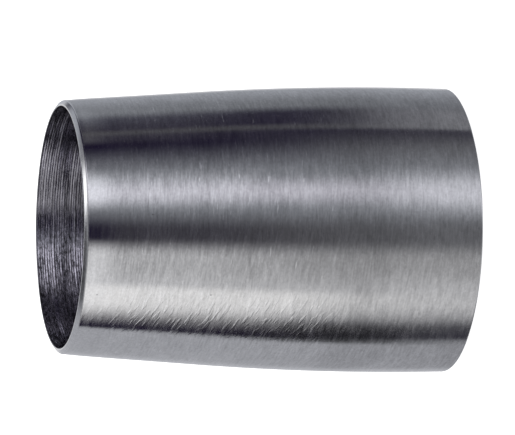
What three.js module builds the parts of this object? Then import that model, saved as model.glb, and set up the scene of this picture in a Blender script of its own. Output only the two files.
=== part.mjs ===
import * as THREE from 'three';

// Concentric butt-weld reducer: one piece of stainless steel that joins a 48.3 mm pipe to a 42.4 mm pipe
// on one axis. It is open right through. Millimetres, +Z up. The part stands on its large end, and the
// origin is the centre of that end's face.

const LARGE_OD = 48.3;
const SMALL_OD = 42.4;
const LENGTH = 66.5;
const WALL = 1.0;

// Heights above the large end's face.
const STRAIGHT_TO = 9.3;
const CONE_FROM = 42.5;

// The rim of the large end is drawn in a little, measured on the radius.
const RIM_DRAW_IN = 0.1;

// Weld bevels: what the tool takes off each end's outer edge, along the axis and on the radius.
const LARGE_BEVEL_LENGTH = 0.3;
const SMALL_BEVEL_LENGTH = 0.5;
const BEVEL_DEPTH = 0.75;

const SIDES = 96;
const RIM_STEPS = 3;
const BLEND_STEPS = 8;

const LARGE_RADIUS = LARGE_OD / 2;
const SMALL_RADIUS = SMALL_OD / 2;
const BLEND_LENGTH = CONE_FROM - STRAIGHT_TO;
const CONE_SLOPE = (LARGE_RADIUS - SMALL_RADIUS) / (LENGTH - STRAIGHT_TO - BLEND_LENGTH / 2);

// The outside has three stretches that meet smoothly: the large end, a long soft bend, and a straight cone.
function outerRadius(height) {
  if (height < STRAIGHT_TO) {
    const towardsRim = 1 - height / STRAIGHT_TO;
    return LARGE_RADIUS - RIM_DRAW_IN * towardsRim ** 2;
  }
  if (height < CONE_FROM) {
    const intoBend = height - STRAIGHT_TO;
    return LARGE_RADIUS - (CONE_SLOPE * intoBend ** 2) / (2 * BLEND_LENGTH);
  }
  return SMALL_RADIUS + CONE_SLOPE * (LENGTH - height);
}

function innerRadius(height) {
  return outerRadius(height) - WALL;
}

function evenSteps(from, to, steps) {
  return Array.from({ length: steps }, (_, i) => from + ((to - from) * i) / steps);
}

// Heights at which the wall bends, without the two end faces.
function wallHeights() {
  return [
    ...evenSteps(0, STRAIGHT_TO, RIM_STEPS).slice(1),
    ...evenSteps(STRAIGHT_TO, CONE_FROM, BLEND_STEPS),
    CONE_FROM,
  ];
}

// The wall's cut face, from the bore's edge at the large end, up the outside, and back down the bore.
function wallSection() {
  const at = (radius, height) => new THREE.Vector2(radius, height);
  const heights = wallHeights();
  const smallBevelStart = LENGTH - SMALL_BEVEL_LENGTH;
  const largeLand = [at(innerRadius(0), 0), at(outerRadius(0) - BEVEL_DEPTH, 0)];
  const largeBevelEnd = at(outerRadius(LARGE_BEVEL_LENGTH), LARGE_BEVEL_LENGTH);
  const outside = heights.map((height) => at(outerRadius(height), height));
  const smallBevelFoot = at(outerRadius(smallBevelStart), smallBevelStart);
  const smallLand = [at(outerRadius(LENGTH) - BEVEL_DEPTH, LENGTH), at(innerRadius(LENGTH), LENGTH)];
  const bore = heights.reverse().map((height) => at(innerRadius(height), height));
  return [...largeLand, largeBevelEnd, ...outside, smallBevelFoot, ...smallLand, ...bore, largeLand[0]];
}

function reducerBody() {
  const geometry = new THREE.LatheGeometry(wallSection(), SIDES);
  const brushedStainless = new THREE.MeshStandardMaterial({
    color: 0xa3a3a8,
    roughness: 0.34,
    metalness: 1.0,
  });
  const body = new THREE.Mesh(geometry, brushedStainless);
  body.name = 'reducer_body';
  // A lathe turns its section about Y, and this part's axis is Z.
  body.rotation.x = Math.PI / 2;
  return body;
}

const reducer = new THREE.Group();
reducer.add(reducerBody());

export default reducer;
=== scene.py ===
"""A brushed stainless concentric reducer, standing on its large end on a pale studio floor.

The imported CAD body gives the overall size. This script replaces it with a finer body of the same shape:
softened weld bevels, a bore with the marks of the turning tool, and an outside that was brushed by hand.
"""

import math
from typing import NamedTuple

import bpy
from mathutils import Matrix, Vector
from mathutils import noise as field


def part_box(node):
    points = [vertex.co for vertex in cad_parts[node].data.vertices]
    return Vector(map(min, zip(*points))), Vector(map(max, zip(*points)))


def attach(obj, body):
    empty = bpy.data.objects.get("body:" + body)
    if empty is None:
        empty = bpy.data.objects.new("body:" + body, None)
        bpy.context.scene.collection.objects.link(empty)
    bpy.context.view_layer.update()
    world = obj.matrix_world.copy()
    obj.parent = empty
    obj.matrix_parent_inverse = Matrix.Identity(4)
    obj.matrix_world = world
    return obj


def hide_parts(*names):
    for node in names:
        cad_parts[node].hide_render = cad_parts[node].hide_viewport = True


MM = 0.001

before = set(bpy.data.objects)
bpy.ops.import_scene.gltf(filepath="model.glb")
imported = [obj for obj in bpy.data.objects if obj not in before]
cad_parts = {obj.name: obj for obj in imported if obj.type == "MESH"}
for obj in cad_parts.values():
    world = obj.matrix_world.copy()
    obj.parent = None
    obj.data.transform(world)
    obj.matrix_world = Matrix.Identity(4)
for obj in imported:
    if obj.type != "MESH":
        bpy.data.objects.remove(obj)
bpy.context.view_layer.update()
LOW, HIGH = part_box("reducer_body")

# The body's driving sizes: the first two come from the frame, the rest repeat the part's design.
LENGTH = HIGH.z - LOW.z
LARGE_RADIUS = (HIGH.x - LOW.x) / 2
SMALL_RADIUS = 21.2 * MM
WALL = 1.0 * MM
STRAIGHT_TO = 9.3 * MM
CONE_FROM = 42.5 * MM
RIM_DRAW_IN = 0.1 * MM
LARGE_BEVEL_LENGTH = 0.3 * MM
SMALL_BEVEL_LENGTH = 0.5 * MM
BEVEL_DEPTH = 0.75 * MM

BLEND_LENGTH = CONE_FROM - STRAIGHT_TO
CONE_SLOPE = (LARGE_RADIUS - SMALL_RADIUS) / (LENGTH - STRAIGHT_TO - BLEND_LENGTH / 2)

# How finely the body is meshed.
SIDES = 256
OUTSIDE_STEP = 1.0 * MM
BORE_STEP = 2.4 * MM
EDGE_STEPS = 3

# A corner's two directions are taken this far along the wall. Next to a fillet, a ring this close on the
# outside and on the bore keeps the wall's shading straight right up to it.
CORNER_SPAN = 1.0 * MM
OUTSIDE_GUARD = 0.06 * MM
BORE_GUARD = 0.05 * MM

# The tool leaves crisp corners. Hand brushing rounds the ones that it reaches, and rolls the small end's
# outside in a little towards its bevel.
TURNED_EDGE = 0.07 * MM
BRUSHED_EDGE = 0.14 * MM
LIP_ROLL_LENGTH = 6 * MM
LIP_ROLL_DEPTH = 0.11 * MM

# The turning tool's marks in the bore, near both ends: lopsided grooves with sharp crests between them.
MARK_PITCH = 0.42 * MM
MARK_DEPTH = 0.09 * MM
MARK_SHAPE = ((0.0, 0.0), (0.15, 0.75), (0.30, 1.0), (0.65, 0.6))
MARKED_LENGTH_AT_SMALL_END = 12.0 * MM
MARKED_LENGTH_AT_LARGE_END = 8.0 * MM

# A little way in from each end the tool paused. It left one strong mark there, even all round in the small
# end, and then a stretch of slightly shallower ones.
PAUSE_FROM, PAUSE_TO = 2.3 * MM, 2.8 * MM
SHALLOW_TO = 5.4 * MM

# The chuck's three jaws squeezed the part while it turned, so the tool cut deeper in three places.
JAWS = 3
JAW_ANGLE = math.radians(80)
JAW_EFFECT = 0.5

# The tool also chattered: how quickly that varies round the bore, and its length along the axis.
SLOW_CHATTER, FAST_CHATTER = 7, 26
CHATTER_LENGTH = 0.3 * MM

# Hand brushing leaves the outside very slightly wavy. It only ever takes metal away.
WAVE_DEPTH = 0.012 * MM
WAVE_SIZE = 7.0 * MM
WAVE_FADE = 2 * MM

OUTSIDE, BEVEL, BORE = range(3)


class Ring(NamedTuple):
    """One ring of the mesh. cut is how deep the turning tool's mark is there."""

    radius: float
    height: float
    zone: int
    cut: float = 0.0
    crest: bool = False


# ---------------------------------------------------------------- shape


def outer_radius(height):
    """The outside: a nearly straight large end, a long soft bend, then a straight cone."""
    if height < STRAIGHT_TO:
        towards_rim = 1 - height / STRAIGHT_TO
        return LARGE_RADIUS - RIM_DRAW_IN * towards_rim**2
    if height < CONE_FROM:
        into_bend = height - STRAIGHT_TO
        return LARGE_RADIUS - CONE_SLOPE * into_bend**2 / (2 * BLEND_LENGTH)
    return SMALL_RADIUS + CONE_SLOPE * (LENGTH - height)


def inner_radius(height):
    return outer_radius(height) - WALL


def even_steps(start, end, step):
    """Evenly spaced values from start to end, both included, no further apart than step."""
    count = max(1, math.ceil(abs(end - start) / step))
    return [start + (end - start) * i / count for i in range(count + 1)]


def softened_corner(before, corner, after, reach):
    """Rings that round a corner of the section with a small fillet."""
    corner = Vector(corner)
    start = corner + (Vector(before) - corner).normalized() * reach
    end = corner + (Vector(after) - corner).normalized() * reach
    rings = []
    for i in range(EDGE_STEPS + 1):
        t = i / EDGE_STEPS
        point = start.lerp(corner, t).lerp(corner.lerp(end, t), t)
        rings.append(Ring(point.x, point.y, BEVEL))
    return rings


def rolled_in(height):
    """How far the outside has come in towards the small end's bevel."""
    along = (height - (HIGH.z - LIP_ROLL_LENGTH)) / LIP_ROLL_LENGTH
    return LIP_ROLL_DEPTH * max(0.0, along) ** 2


def end_section(height, outwards, bevel_length):
    """The rings of one end, from the bore to the outside: bore edge, land edge and bevel edge."""
    bevel_height = height - outwards * bevel_length
    bore_height = height - outwards * CORNER_SPAN
    outside_height = bevel_height - outwards * CORNER_SPAN
    in_bore = (inner_radius(bore_height), bore_height)
    inside = (inner_radius(height), height)
    land = (outer_radius(height) - BEVEL_DEPTH, height)
    bevel = (outer_radius(bevel_height) - rolled_in(bevel_height), bevel_height)
    on_outside = (outer_radius(outside_height) - rolled_in(outside_height), outside_height)
    return (
        softened_corner(in_bore, inside, land, TURNED_EDGE)
        + softened_corner(inside, land, bevel, TURNED_EDGE)
        + softened_corner(land, bevel, on_outside, BRUSHED_EDGE)
    )


def mark_strength(depth, number, seed):
    """How strongly the tool cut a mark at this depth into the bore: no two marks are quite alike."""
    strength = 0.6 + 1.2 * abs(field.noise(Vector((number * 1.7, seed, 0))))
    if PAUSE_FROM < depth < PAUSE_TO:
        return 1.2
    if PAUSE_TO < depth < SHALLOW_TO:
        return strength * 0.8
    return strength * (1 + 0.3 * depth / SHALLOW_TO)


def marked_bore(start, direction, length, seed):
    """Bore rings from one mouth inwards, with a groove for each turn of the tool."""
    rings = []
    for number in range(round(length / MARK_PITCH)):
        strength = mark_strength(number * MARK_PITCH, number, seed)
        for share, cut in MARK_SHAPE:
            height = start + direction * (number + share) * MARK_PITCH
            rings.append(Ring(inner_radius(height), height, BORE, cut * strength * MARK_DEPTH, share == 0.0))
    return rings


def section():
    """The wall's section as rings, once round: outside up, then down through the bore."""
    large_end = end_section(LOW.z, -1, LARGE_BEVEL_LENGTH)
    small_end = end_section(HIGH.z, 1, SMALL_BEVEL_LENGTH)
    bottom, top = large_end[-1].height, small_end[-1].height
    between_edges = even_steps(bottom, top, OUTSIDE_STEP)[1:-1]
    outside_heights = [bottom + OUTSIDE_GUARD, *between_edges, top - OUTSIDE_GUARD]
    outside = [Ring(outer_radius(h) - rolled_in(h), h, OUTSIDE) for h in outside_heights]
    below_rim = small_end[0].height - BORE_GUARD
    above_rim = large_end[0].height + BORE_GUARD
    upper_marks = marked_bore(below_rim, -1, MARKED_LENGTH_AT_SMALL_END, 3.0)
    lower_marks = marked_bore(above_rim, 1, MARKED_LENGTH_AT_LARGE_END, 8.0)[::-1]
    middle = even_steps(upper_marks[-1].height, lower_marks[0].height, BORE_STEP)[1:-1]
    plain_bore = [Ring(inner_radius(h), h, BORE) for h in middle]
    return large_end + outside + small_end[::-1] + upper_marks + plain_bore + lower_marks


def brushed_away(radius, height, angle):
    """The depth that hand brushing took off the outside at a point, fading out at the two ends."""
    place = Vector((math.cos(angle) * radius, math.sin(angle) * radius, height * 0.6)) / WAVE_SIZE
    from_ends = min(height - LOW.z, HIGH.z - height) / WAVE_FADE
    return WAVE_DEPTH * (0.5 + 0.5 * field.noise(place)) * min(1.0, max(0.0, from_ends))


def chatter(ring, angle, pace):
    level = ring.height / CHATTER_LENGTH
    return field.noise(Vector((math.cos(angle) * pace, math.sin(angle) * pace, level)))


def cut_away(ring, angle):
    """The depth of the tool's mark at a point. Chatter makes it come and go round the bore, apart from the
    even mark where the tool paused in the small end."""
    if PAUSE_FROM < HIGH.z - ring.height < PAUSE_TO:
        return ring.cut
    slow = chatter(ring, angle, SLOW_CHATTER)
    fast = chatter(ring, angle, FAST_CHATTER)
    squeezed = JAW_EFFECT * math.cos(JAWS * (angle - JAW_ANGLE))
    return ring.cut * (1 + 0.7 * slow + 0.5 * fast + squeezed)


def point_on(ring, angle):
    radius = ring.radius
    if ring.zone == OUTSIDE:
        radius -= brushed_away(ring.radius, ring.height, angle)
    if ring.cut > 0:
        radius += cut_away(ring, angle)
    return (radius * math.cos(angle), radius * math.sin(angle), ring.height)


def make_body():
    """The whole reducer as one closed mesh, with a material zone for each kind of surface."""
    rings = section()
    vertices = [point_on(ring, 2 * math.pi * i / SIDES) for ring in rings for i in range(SIDES)]
    faces, zones = [], []
    for i, ring in enumerate(rings):
        next_ring = (i + 1) % len(rings)
        between_zones = ring.zone != rings[next_ring].zone
        for j in range(SIDES):
            k = (j + 1) % SIDES
            faces.append((i * SIDES + j, i * SIDES + k, next_ring * SIDES + k, next_ring * SIDES + j))
            zones.append(BEVEL if between_zones else ring.zone)
    mesh = bpy.data.meshes.new("reducer")
    mesh.from_pydata(vertices, [], faces)
    mesh.polygons.foreach_set("material_index", zones)
    mesh.polygons.foreach_set("use_smooth", [True] * len(faces))
    for edge in mesh.edges:
        first, second = (vertex // SIDES for vertex in edge.vertices)
        edge.use_edge_sharp = first == second and rings[first].crest
    mesh.update()
    body = bpy.data.objects.new("reducer", mesh)
    bpy.context.scene.collection.objects.link(body)
    return body


# ---------------------------------------------------------------- materials


class Graph:
    """Short ways to add nodes to a material's or the world's node tree."""

    def __init__(self, tree):
        self.tree = tree
        self.tree.nodes.clear()

    def node(self, kind, inputs=None, **settings):
        made = self.tree.nodes.new(kind)
        for name, value in settings.items():
            setattr(made, name, value)
        for name, value in (inputs or {}).items():
            self.put(made.inputs[name], value)
        return made

    def put(self, socket, value):
        if isinstance(value, bpy.types.NodeSocket):
            self.tree.links.new(value, socket)
        else:
            socket.default_value = value

    def math(self, operation, first, second=0.0, clamp=False):
        made = self.node("ShaderNodeMath", operation=operation, use_clamp=clamp)
        self.put(made.inputs[0], first)
        self.put(made.inputs[1], second)
        return made.outputs[0]

    def times(self, first, second):
        return self.math("MULTIPLY", first, second)

    def total(self, *values):
        result = values[0]
        for value in values[1:]:
            result = self.math("ADD", result, value)
        return result

    def fit(self, value, low, high, to_low=0.0, to_high=1.0, smooth=True):
        """value, moved from the range low..high to to_low..to_high and held there."""
        kind = "SMOOTHSTEP" if smooth else "LINEAR"
        made = self.node("ShaderNodeMapRange", interpolation_type=kind)
        for socket, number in zip(made.inputs, (value, low, high, to_low, to_high)):
            self.put(socket, number)
        return made.outputs[0]

    def join(self, x, y, z):
        return self.node("ShaderNodeCombineXYZ", {"X": x, "Y": y, "Z": z}).outputs[0]

    def noise(self, vector, detail=2.0, roughness=0.5):
        inputs = {"Vector": vector, "Scale": 1.0, "Detail": detail, "Roughness": roughness}
        return self.node("ShaderNodeTexNoise", inputs).outputs[0]

    def blend(self, factor, first, second):
        made = self.node("ShaderNodeMix", data_type="RGBA")
        for name, value in (("Factor_Float", factor), ("A_Color", first), ("B_Color", second)):
            self.put(next(s for s in made.inputs if s.identifier == name), value)
        return next(s for s in made.outputs if s.identifier == "Result_Color")

    def tint(self, factor, colour):
        """A colour made lighter or darker by a factor that varies over the surface."""
        scaled = self.node("ShaderNodeVectorMath", operation="SCALE")
        scaled.inputs[0].default_value = colour[:3]
        self.put(scaled.inputs["Scale"], factor)
        return scaled.outputs[0]


class Surface(Graph):
    """A metal's node tree, with the surface point in millimetres at hand."""

    def __init__(self, name):
        self.material = bpy.data.materials.new(name)
        self.material.use_nodes = True
        super().__init__(self.material.node_tree)
        place = self.node("ShaderNodeTexCoord").outputs["Object"]
        parts = self.node("ShaderNodeSeparateXYZ", {"Vector": place}).outputs
        self.x, self.y, self.z = (self.times(part, 1 / MM) for part in parts)

    def strokes(self, length, width, lean=(0.0, 0.0), seed=0.0, detail=2.0, roughness=0.6):
        """Noise drawn out round the axis: streaks of this length and width, which may lean along it."""
        x_lean = self.times(self.x, lean[0])
        y_lean = self.times(self.y, lean[1])
        along = self.total(self.z, x_lean, y_lean)
        vector = self.join(
            self.times(self.x, 1 / length),
            self.times(self.y, 1 / length),
            self.times(along, 1 / width),
        )
        return self.noise(self.moved(vector, (seed, -seed, seed * 2)), detail, roughness)

    def moved(self, vector, offset):
        """The same coordinates starting elsewhere, so that two patterns never line up."""
        made = self.node("ShaderNodeVectorMath", operation="ADD")
        self.put(made.inputs[0], vector)
        made.inputs[1].default_value = offset
        return made.outputs[0]

    def spread(self, value, weight):
        """Noise moved to swing round zero, with this weight."""
        return self.times(self.math("SUBTRACT", value, 0.5), weight)

    def grain(self, size, seed=0.0, detail=2.0, roughness=0.5):
        """Noise with no direction, of this grain size."""
        vector = self.join(*(self.times(part, 1 / size) for part in (self.x, self.y, self.z)))
        return self.noise(self.moved(vector, (seed, seed * 3, -seed)), detail, roughness)

    def pits(self, spacing, size, share, seed=0.0):
        """1 in the middle of small scattered pits, 0 elsewhere. share is how many of the cells have one."""
        vector = self.join(*(self.times(part, 1 / spacing) for part in (self.x, self.y, self.z)))
        inputs = {"Vector": self.moved(vector, (seed, seed, seed)), "Scale": 1.0}
        cells = self.node("ShaderNodeTexVoronoi", inputs)
        spot = self.fit(cells.outputs["Distance"], 0.0, size / spacing, 1.0, 0.0)
        chance = self.node("ShaderNodeSeparateColor", {"Color": cells.outputs["Color"]}).outputs[0]
        chosen = self.math("LESS_THAN", chance, share)
        return self.times(spot, chosen)

    def finish(self, colour, roughness, height, bump_mm, anisotropic):
        """Metal that reflects along its strokes sharply and across them softly."""
        bump = self.node("ShaderNodeBump", {"Height": height, "Strength": 1.0, "Distance": bump_mm * MM})
        around = self.node("ShaderNodeTangent", direction_type="RADIAL", axis="Z")
        shader = self.node(
            "ShaderNodeBsdfPrincipled",
            {
                "Base Color": colour,
                "Metallic": 1.0,
                "Roughness": roughness,
                "Anisotropic": anisotropic,
                "Anisotropic Rotation": 0.25,
                "Normal": bump.outputs[0],
                "Tangent": around.outputs[0],
            },
        )
        output = self.node("ShaderNodeOutputMaterial")
        self.put(output.inputs["Surface"], shader.outputs[0])
        return self.material


STEEL = (0.66, 0.66, 0.667)
# The bore's steel is tinted violet so that light reflected many times deep in the bore, its shade, comes out
# violet: painted shade colour.
BORE_STEEL_VIOLET_SHADE = (0.605, 0.59, 0.645)


def brushed_outside():
    """The outside: short strokes round the part, some of them leaning, a few scratch marks painted lighter
    as glints, pits, and a duller large end."""
    s = Surface("brushed_stainless")

    # the marks
    fine = s.strokes(2.6, 0.34, (0.07, 0.0), 1.0, 3.0, 0.6)
    broad = s.strokes(3.0, 0.66, (0.09, 0.0), 5.0, 2.0, 0.6)
    patches = s.strokes(11.0, 3.4, (0.02, 0.0), 9.0, 2.0, 0.5)
    leaning = s.fit(s.strokes(2.2, 0.55, (0.20, -0.38), 13.0, 1.0, 0.4), 0.50, 0.72)
    # scratch marks: real bumps and roughness, with a painted glint added to the colour below
    all_scratches_and_glints = s.fit(s.strokes(2.4, 0.26, (0.10, 0.02), 17.0, 1.0, 0.4), 0.70, 0.82)
    pits = s.pits(2.2, 0.2, 0.14)
    speckle = s.grain(0.45, 3.0)
    mottle = s.strokes(1.4, 0.7, (0.0, 0.0), 11.0)
    wander = s.grain(9.0, 7.0)

    # where they lie: the edge of the dull end wanders, the lip is smoother, and so is the +X side
    edge = s.total(s.z, s.times(wander, 6.0))
    dull = s.fit(edge, 13.0, 24.0, 1.0, 0.0)
    bend = s.times(s.fit(edge, 15.0, 23.0), s.fit(edge, 23.0, 31.0, 1.0, 0.0))
    lip = s.fit(s.z, 57.0, 64.0)
    off_lip = s.fit(s.z, 56.0, 64.0, 1.0, 0.35)
    mid_length = s.times(s.fit(s.z, 18.0, 30.0), off_lip)
    leaning_side = s.fit(s.x, -6.0, -14.0)
    rough_side = s.fit(s.x, 20.0, 8.0, 0.2, 1.0)
    scratches_and_glints = s.times(all_scratches_and_glints, mid_length)

    # the scratch marks' share here is painted light: it lightens the colour as their glints
    streaks = s.total(s.spread(fine, 0.55), s.spread(broad, 0.30), s.times(scratches_and_glints, 0.3))
    shade = s.total(
        0.98,
        s.times(streaks, off_lip),
        s.spread(patches, 0.24),
        s.spread(speckle, 0.32),
        s.times(s.spread(mottle, 0.4), dull),
        s.times(bend, -0.11),
        s.times(pits, -0.8),
    )
    roughness = s.total(
        0.135,
        s.times(s.spread(broad, 0.17), rough_side),
        s.spread(wander, 0.1),
        s.times(scratches_and_glints, 0.1),
        s.times(pits, 0.05),
        s.times(dull, 0.04),
        s.times(lip, -0.02),
    )
    strokes_height = s.total(
        s.times(fine, 0.5),
        s.times(broad, 0.6),
        s.times(scratches_and_glints, -0.3),
    )
    height = s.total(
        s.times(strokes_height, s.times(off_lip, rough_side)),
        s.times(s.times(leaning, s.times(mid_length, leaning_side)), 0.7),
        s.times(speckle, 0.08),
        s.times(pits, -0.3),
    )
    return s.finish(s.tint(shade, STEEL), roughness, height, 0.012, 0.8)


def turned_bevel():
    """The weld bevels and lands: turned clean, with very fine tool lines."""
    s = Surface("turned_bevel")
    lines = s.strokes(20.0, 0.05, (0.0, 0.0), 21.0, 2.0, 0.6)
    nicks = s.grain(0.6, 4.0)
    shade = s.total(1.0, s.spread(lines, 0.3), s.spread(nicks, 0.3))
    roughness = s.total(0.2, s.spread(nicks, 0.2))
    return s.finish(s.tint(shade, STEEL), roughness, lines, 0.004, 0.6)


def turned_bore():
    """The bore: left as turned, with bright patches where the tool tore the metal, mostly on the -X side."""
    s = Surface("turned_bore")
    torn = s.strokes(0.8, 0.24, (0.0, 0.0), 31.0, 3.0, 0.65)
    long_marks = s.strokes(9.0, 0.40, (0.0, 0.0), 35.0, 2.0, 0.6)
    smudge = s.grain(3.5, 6.0)
    how_torn = s.fit(s.x, 4.0, -3.0, 1.3, 3.4)
    shade = s.total(
        0.76,
        s.times(s.spread(torn, 1.0), how_torn),
        s.spread(long_marks, 1.8),
        s.spread(smudge, 0.8),
    )
    roughness = s.total(0.20, s.spread(torn, 0.3))
    height = s.total(torn, s.times(long_marks, 1.2))
    return s.finish(s.tint(shade, BORE_STEEL_VIOLET_SHADE), roughness, height, 0.006, 0.6)


# ---------------------------------------------------------------- studio


class Card(NamedTuple):
    """A soft card of light, far off. Angles are in degrees: round the part from the camera, positive towards
    the part's -X side, and up from the horizon. Each edge is a pair: where it starts and where it ends."""

    begins: tuple
    ends: tuple
    bottom: tuple
    top: tuple
    brightness: float
    tint: tuple


COOL, BLUISH = (0.965, 0.98, 1.05), (0.935, 0.975, 1.07)
VIOLET = (0.975, 0.955, 1.06)
PLAIN, WARM = (0.99, 0.99, 1.01), (1.01, 1.0, 0.99)
ALL_ROUND_FROM, ALL_ROUND_TO = (-182, -181), (181, 182)
TO_THE_FLOOR, TO_THE_ZENITH = (-92, -91), (91, 92)
HEAD_HIGH = (44, 60)

# On the outside, the camera sees only the small end's rolled-in lip reflect what lies above this edge.
LIP_ONLY = (-3.4, -0.5)

# The cards of the studio, the farthest first: a nearer one hides those behind it.
CARDS = [
    # the bench: a dim glow from below, brighter behind on the +X side
    Card((-30, -12), (8, 24), TO_THE_FLOOR, (-7, 0), 0.085, VIOLET),
    Card((-96, -66), (68, 108), TO_THE_FLOOR, (-17, -7), 0.18, COOL),
    Card(ALL_ROUND_FROM, (-91, -88), TO_THE_FLOOR, (-16.0, -13.2), 0.30, COOL),
    # the far wall on the +X side, brighter the further back it goes
    Card(ALL_ROUND_FROM, (-122, -109), TO_THE_FLOOR, (4, 14), 0.23, BLUISH),
    Card(ALL_ROUND_FROM, (-152, -121), TO_THE_FLOOR, (4, 14), 0.39, BLUISH),
    Card(ALL_ROUND_FROM, (-128, -90), (-8, -4), (6, 16), 0.56, BLUISH),
    Card(ALL_ROUND_FROM, (-172, -157), TO_THE_FLOOR, (-12, -9), 0.92, PLAIN),
    Card(ALL_ROUND_FROM, (-172, -157), (4, 10), (14, 24), 0.85, PLAIN),
    Card(ALL_ROUND_FROM, (-140, -120), (14, 26), HEAD_HIGH, 0.50, BLUISH),
    # a thin strip in the dark gap, wider and brighter where the lip reflects it
    Card((-97, -91), (-92, -86), (-15, -11), (-2, 2), 0.085, VIOLET),
    Card((-112, -100), (-86, -76), (-6, -3), (2, 8), 0.14, VIOLET),
    # the upper key card, with the soft glow round it
    Card((-78, -40), (-20, 2), TO_THE_FLOOR, HEAD_HIGH, 0.28, BLUISH),
    Card((-46, -30), (-31, -16), TO_THE_FLOOR, HEAD_HIGH, 0.66, VIOLET),
    Card((-56, -34), (-28, -6), TO_THE_FLOOR, (-17, -15.5), 0.86, COOL),
    Card((-70, -52), (-32, -12), (2, 6), HEAD_HIGH, 0.85, VIOLET),
    Card((-55, -38), (-30, -12), LIP_ONLY, (6, 10), 1.4, COOL),
    # the lower, wider card: it brightens in three steps, with a dimmer one above and behind it
    Card((40, 60), (120, 130), (6, 16), HEAD_HIGH, 0.36, PLAIN),
    Card((8, 25), (58, 87), TO_THE_FLOOR, HEAD_HIGH, 0.41, PLAIN),
    Card((27, 55), (58, 87), TO_THE_FLOOR, HEAD_HIGH, 0.61, PLAIN),
    Card((48, 58), (57, 80), (-14, -11.5), (2, 8), 0.92, WARM),
    Card((48, 58), (61, 97), (-10.5, -8.5), (2, 8), 1.03, WARM),
    Card((9, 25), (80, 104), LIP_ONLY, (2, 8), 1.3, PLAIN),
    # the near wall on the -X side: brighter higher up, with a sharp edge and a dark skirt before it
    Card((98, 103), ALL_ROUND_TO, TO_THE_FLOOR, HEAD_HIGH, 0.33, COOL),
    Card((98, 103), ALL_ROUND_TO, (-22, -8), HEAD_HIGH, 0.49, COOL),
    Card((76, 88), (102, 107), (-17, -15), (-11, -8.5), 0.02, COOL),
    Card((146, 162), ALL_ROUND_TO, TO_THE_FLOOR, HEAD_HIGH, 0.54, COOL),
    Card((163, 178), ALL_ROUND_TO, TO_THE_FLOOR, (10, 20), 0.86, PLAIN),
    # overhead: a grey ceiling, and a bright card on the +X side of it
    Card(ALL_ROUND_FROM, ALL_ROUND_TO, (40, 56), TO_THE_ZENITH, 0.30, COOL),
    Card((90, 120), ALL_ROUND_TO, (50, 58), (82, 87), 0.065, VIOLET),
    Card((-170, -154), (-100, -70), (57, 69), (79, 82), 2.0, PLAIN),
]
GAP_COLOUR = (0.013, 0.009, 0.029)


def light_the_studio():
    """White surroundings, and for reflections the cards in front of a dark background."""
    world = bpy.data.worlds.new("studio")
    bpy.context.scene.world = world
    world.use_nodes = True
    world.cycles.sampling_method = "NONE"
    g = Graph(world.node_tree)
    direction = g.node("ShaderNodeTexCoord").outputs["Generated"]
    parts = g.node("ShaderNodeSeparateXYZ", {"Vector": direction}).outputs
    back_x = g.times(parts["X"], -1.0)
    back_y = g.times(parts["Y"], -1.0)
    around = g.math("DEGREES", g.math("ARCTAN2", back_x, back_y))
    rise = g.math("DEGREES", g.math("ARCSINE", parts["Z"]))
    seen = (*GAP_COLOUR, 1.0)
    for card in CARDS:
        across = g.times(g.fit(around, *card.begins), g.fit(around, *card.ends, 1.0, 0.0))
        upright = g.times(g.fit(rise, *card.bottom), g.fit(rise, *card.top, 1.0, 0.0))
        light = [channel * card.brightness for channel in card.tint]
        seen = g.blend(g.times(across, upright), seen, (*light, 1.0))
    is_reflection = g.node("ShaderNodeLightPath").outputs["Is Glossy Ray"]
    background = g.node("ShaderNodeBackground", {"Strength": 1.0})
    g.put(background.inputs["Color"], g.blend(is_reflection, (1.0, 1.0, 1.0, 1.0), seen))
    output = g.node("ShaderNodeOutputWorld")
    g.put(output.inputs["Surface"], background.outputs[0])


FLOOR_HALF_WIDTH = 2.5
FLOOR_GAP = 0.02 * MM


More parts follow.
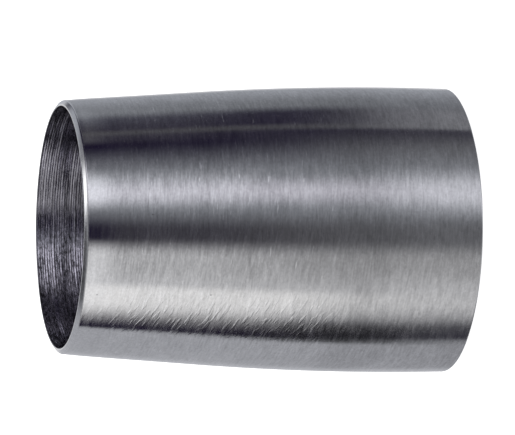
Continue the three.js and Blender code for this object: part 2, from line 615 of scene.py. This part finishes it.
def make_floor():
    """A plain pale floor. The metal reflects the cards through it, as if it stood on clear glass."""
    half = FLOOR_HALF_WIDTH
    corners = [(-half, -half, 0), (half, -half, 0), (half, half, 0), (-half, half, 0)]
    mesh = bpy.data.meshes.new("floor")
    mesh.from_pydata(corners, [], [(0, 1, 2, 3)])
    floor = bpy.data.objects.new("floor", mesh)
    bpy.context.scene.collection.objects.link(floor)
    floor.location.z = LOW.z - FLOOR_GAP
    floor.visible_glossy = False
    material = bpy.data.materials.new("pale_floor")
    material.use_nodes = True
    g = Graph(material.node_tree)
    shader = g.node(
        "ShaderNodeBsdfPrincipled",
        {
            "Base Color": (0.8, 0.8, 0.8, 1.0),
            "Roughness": 0.9,
            "Emission Color": (1.0, 1.0, 1.0, 1.0),
            "Emission Strength": 0.85,
        },
    )
    output = g.node("ShaderNodeOutputMaterial")
    g.put(output.inputs["Surface"], shader.outputs[0])
    mesh.materials.append(material)


# ---------------------------------------------------------------- camera


CAMERA_DISTANCE = 740 * MM
CAMERA_RISE = math.radians(14.0)
CAMERA_ROLL = math.radians(0.48)
LENS = 307.6
AIM_RIGHT = 0.70 * MM
AIM_UP = 1.87 * MM


def make_camera():
    """Looks down at the small end from a little above, turned so that the part lies across the picture."""
    back = Vector((0, -math.cos(CAMERA_RISE), math.sin(CAMERA_RISE)))
    right = Vector((0, -math.sin(CAMERA_RISE), -math.cos(CAMERA_RISE)))
    up = Vector((1, 0, 0))
    roll = Matrix.Rotation(CAMERA_ROLL, 3, back)
    right, up = roll @ right, roll @ up
    target = (LOW + HIGH) / 2 + right * AIM_RIGHT + up * AIM_UP
    data = bpy.data.cameras.new("camera")
    data.lens = LENS
    data.sensor_width = 36
    data.clip_start = 0.01
    camera = bpy.data.objects.new("camera", data)
    bpy.context.scene.collection.objects.link(camera)
    facing = Matrix((right, up, back)).transposed()
    camera.matrix_world = Matrix.Translation(target + back * CAMERA_DISTANCE) @ facing.to_4x4()
    bpy.context.scene.camera = camera


# ---------------------------------------------------------------- build


bpy.context.scene.view_settings.view_transform = "Standard"
make_camera()
light_the_studio()
make_floor()

body = make_body()
for material in (brushed_outside(), turned_bevel(), turned_bore()):
    body.data.materials.append(material)
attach(body, "root")
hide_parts("reducer_body")
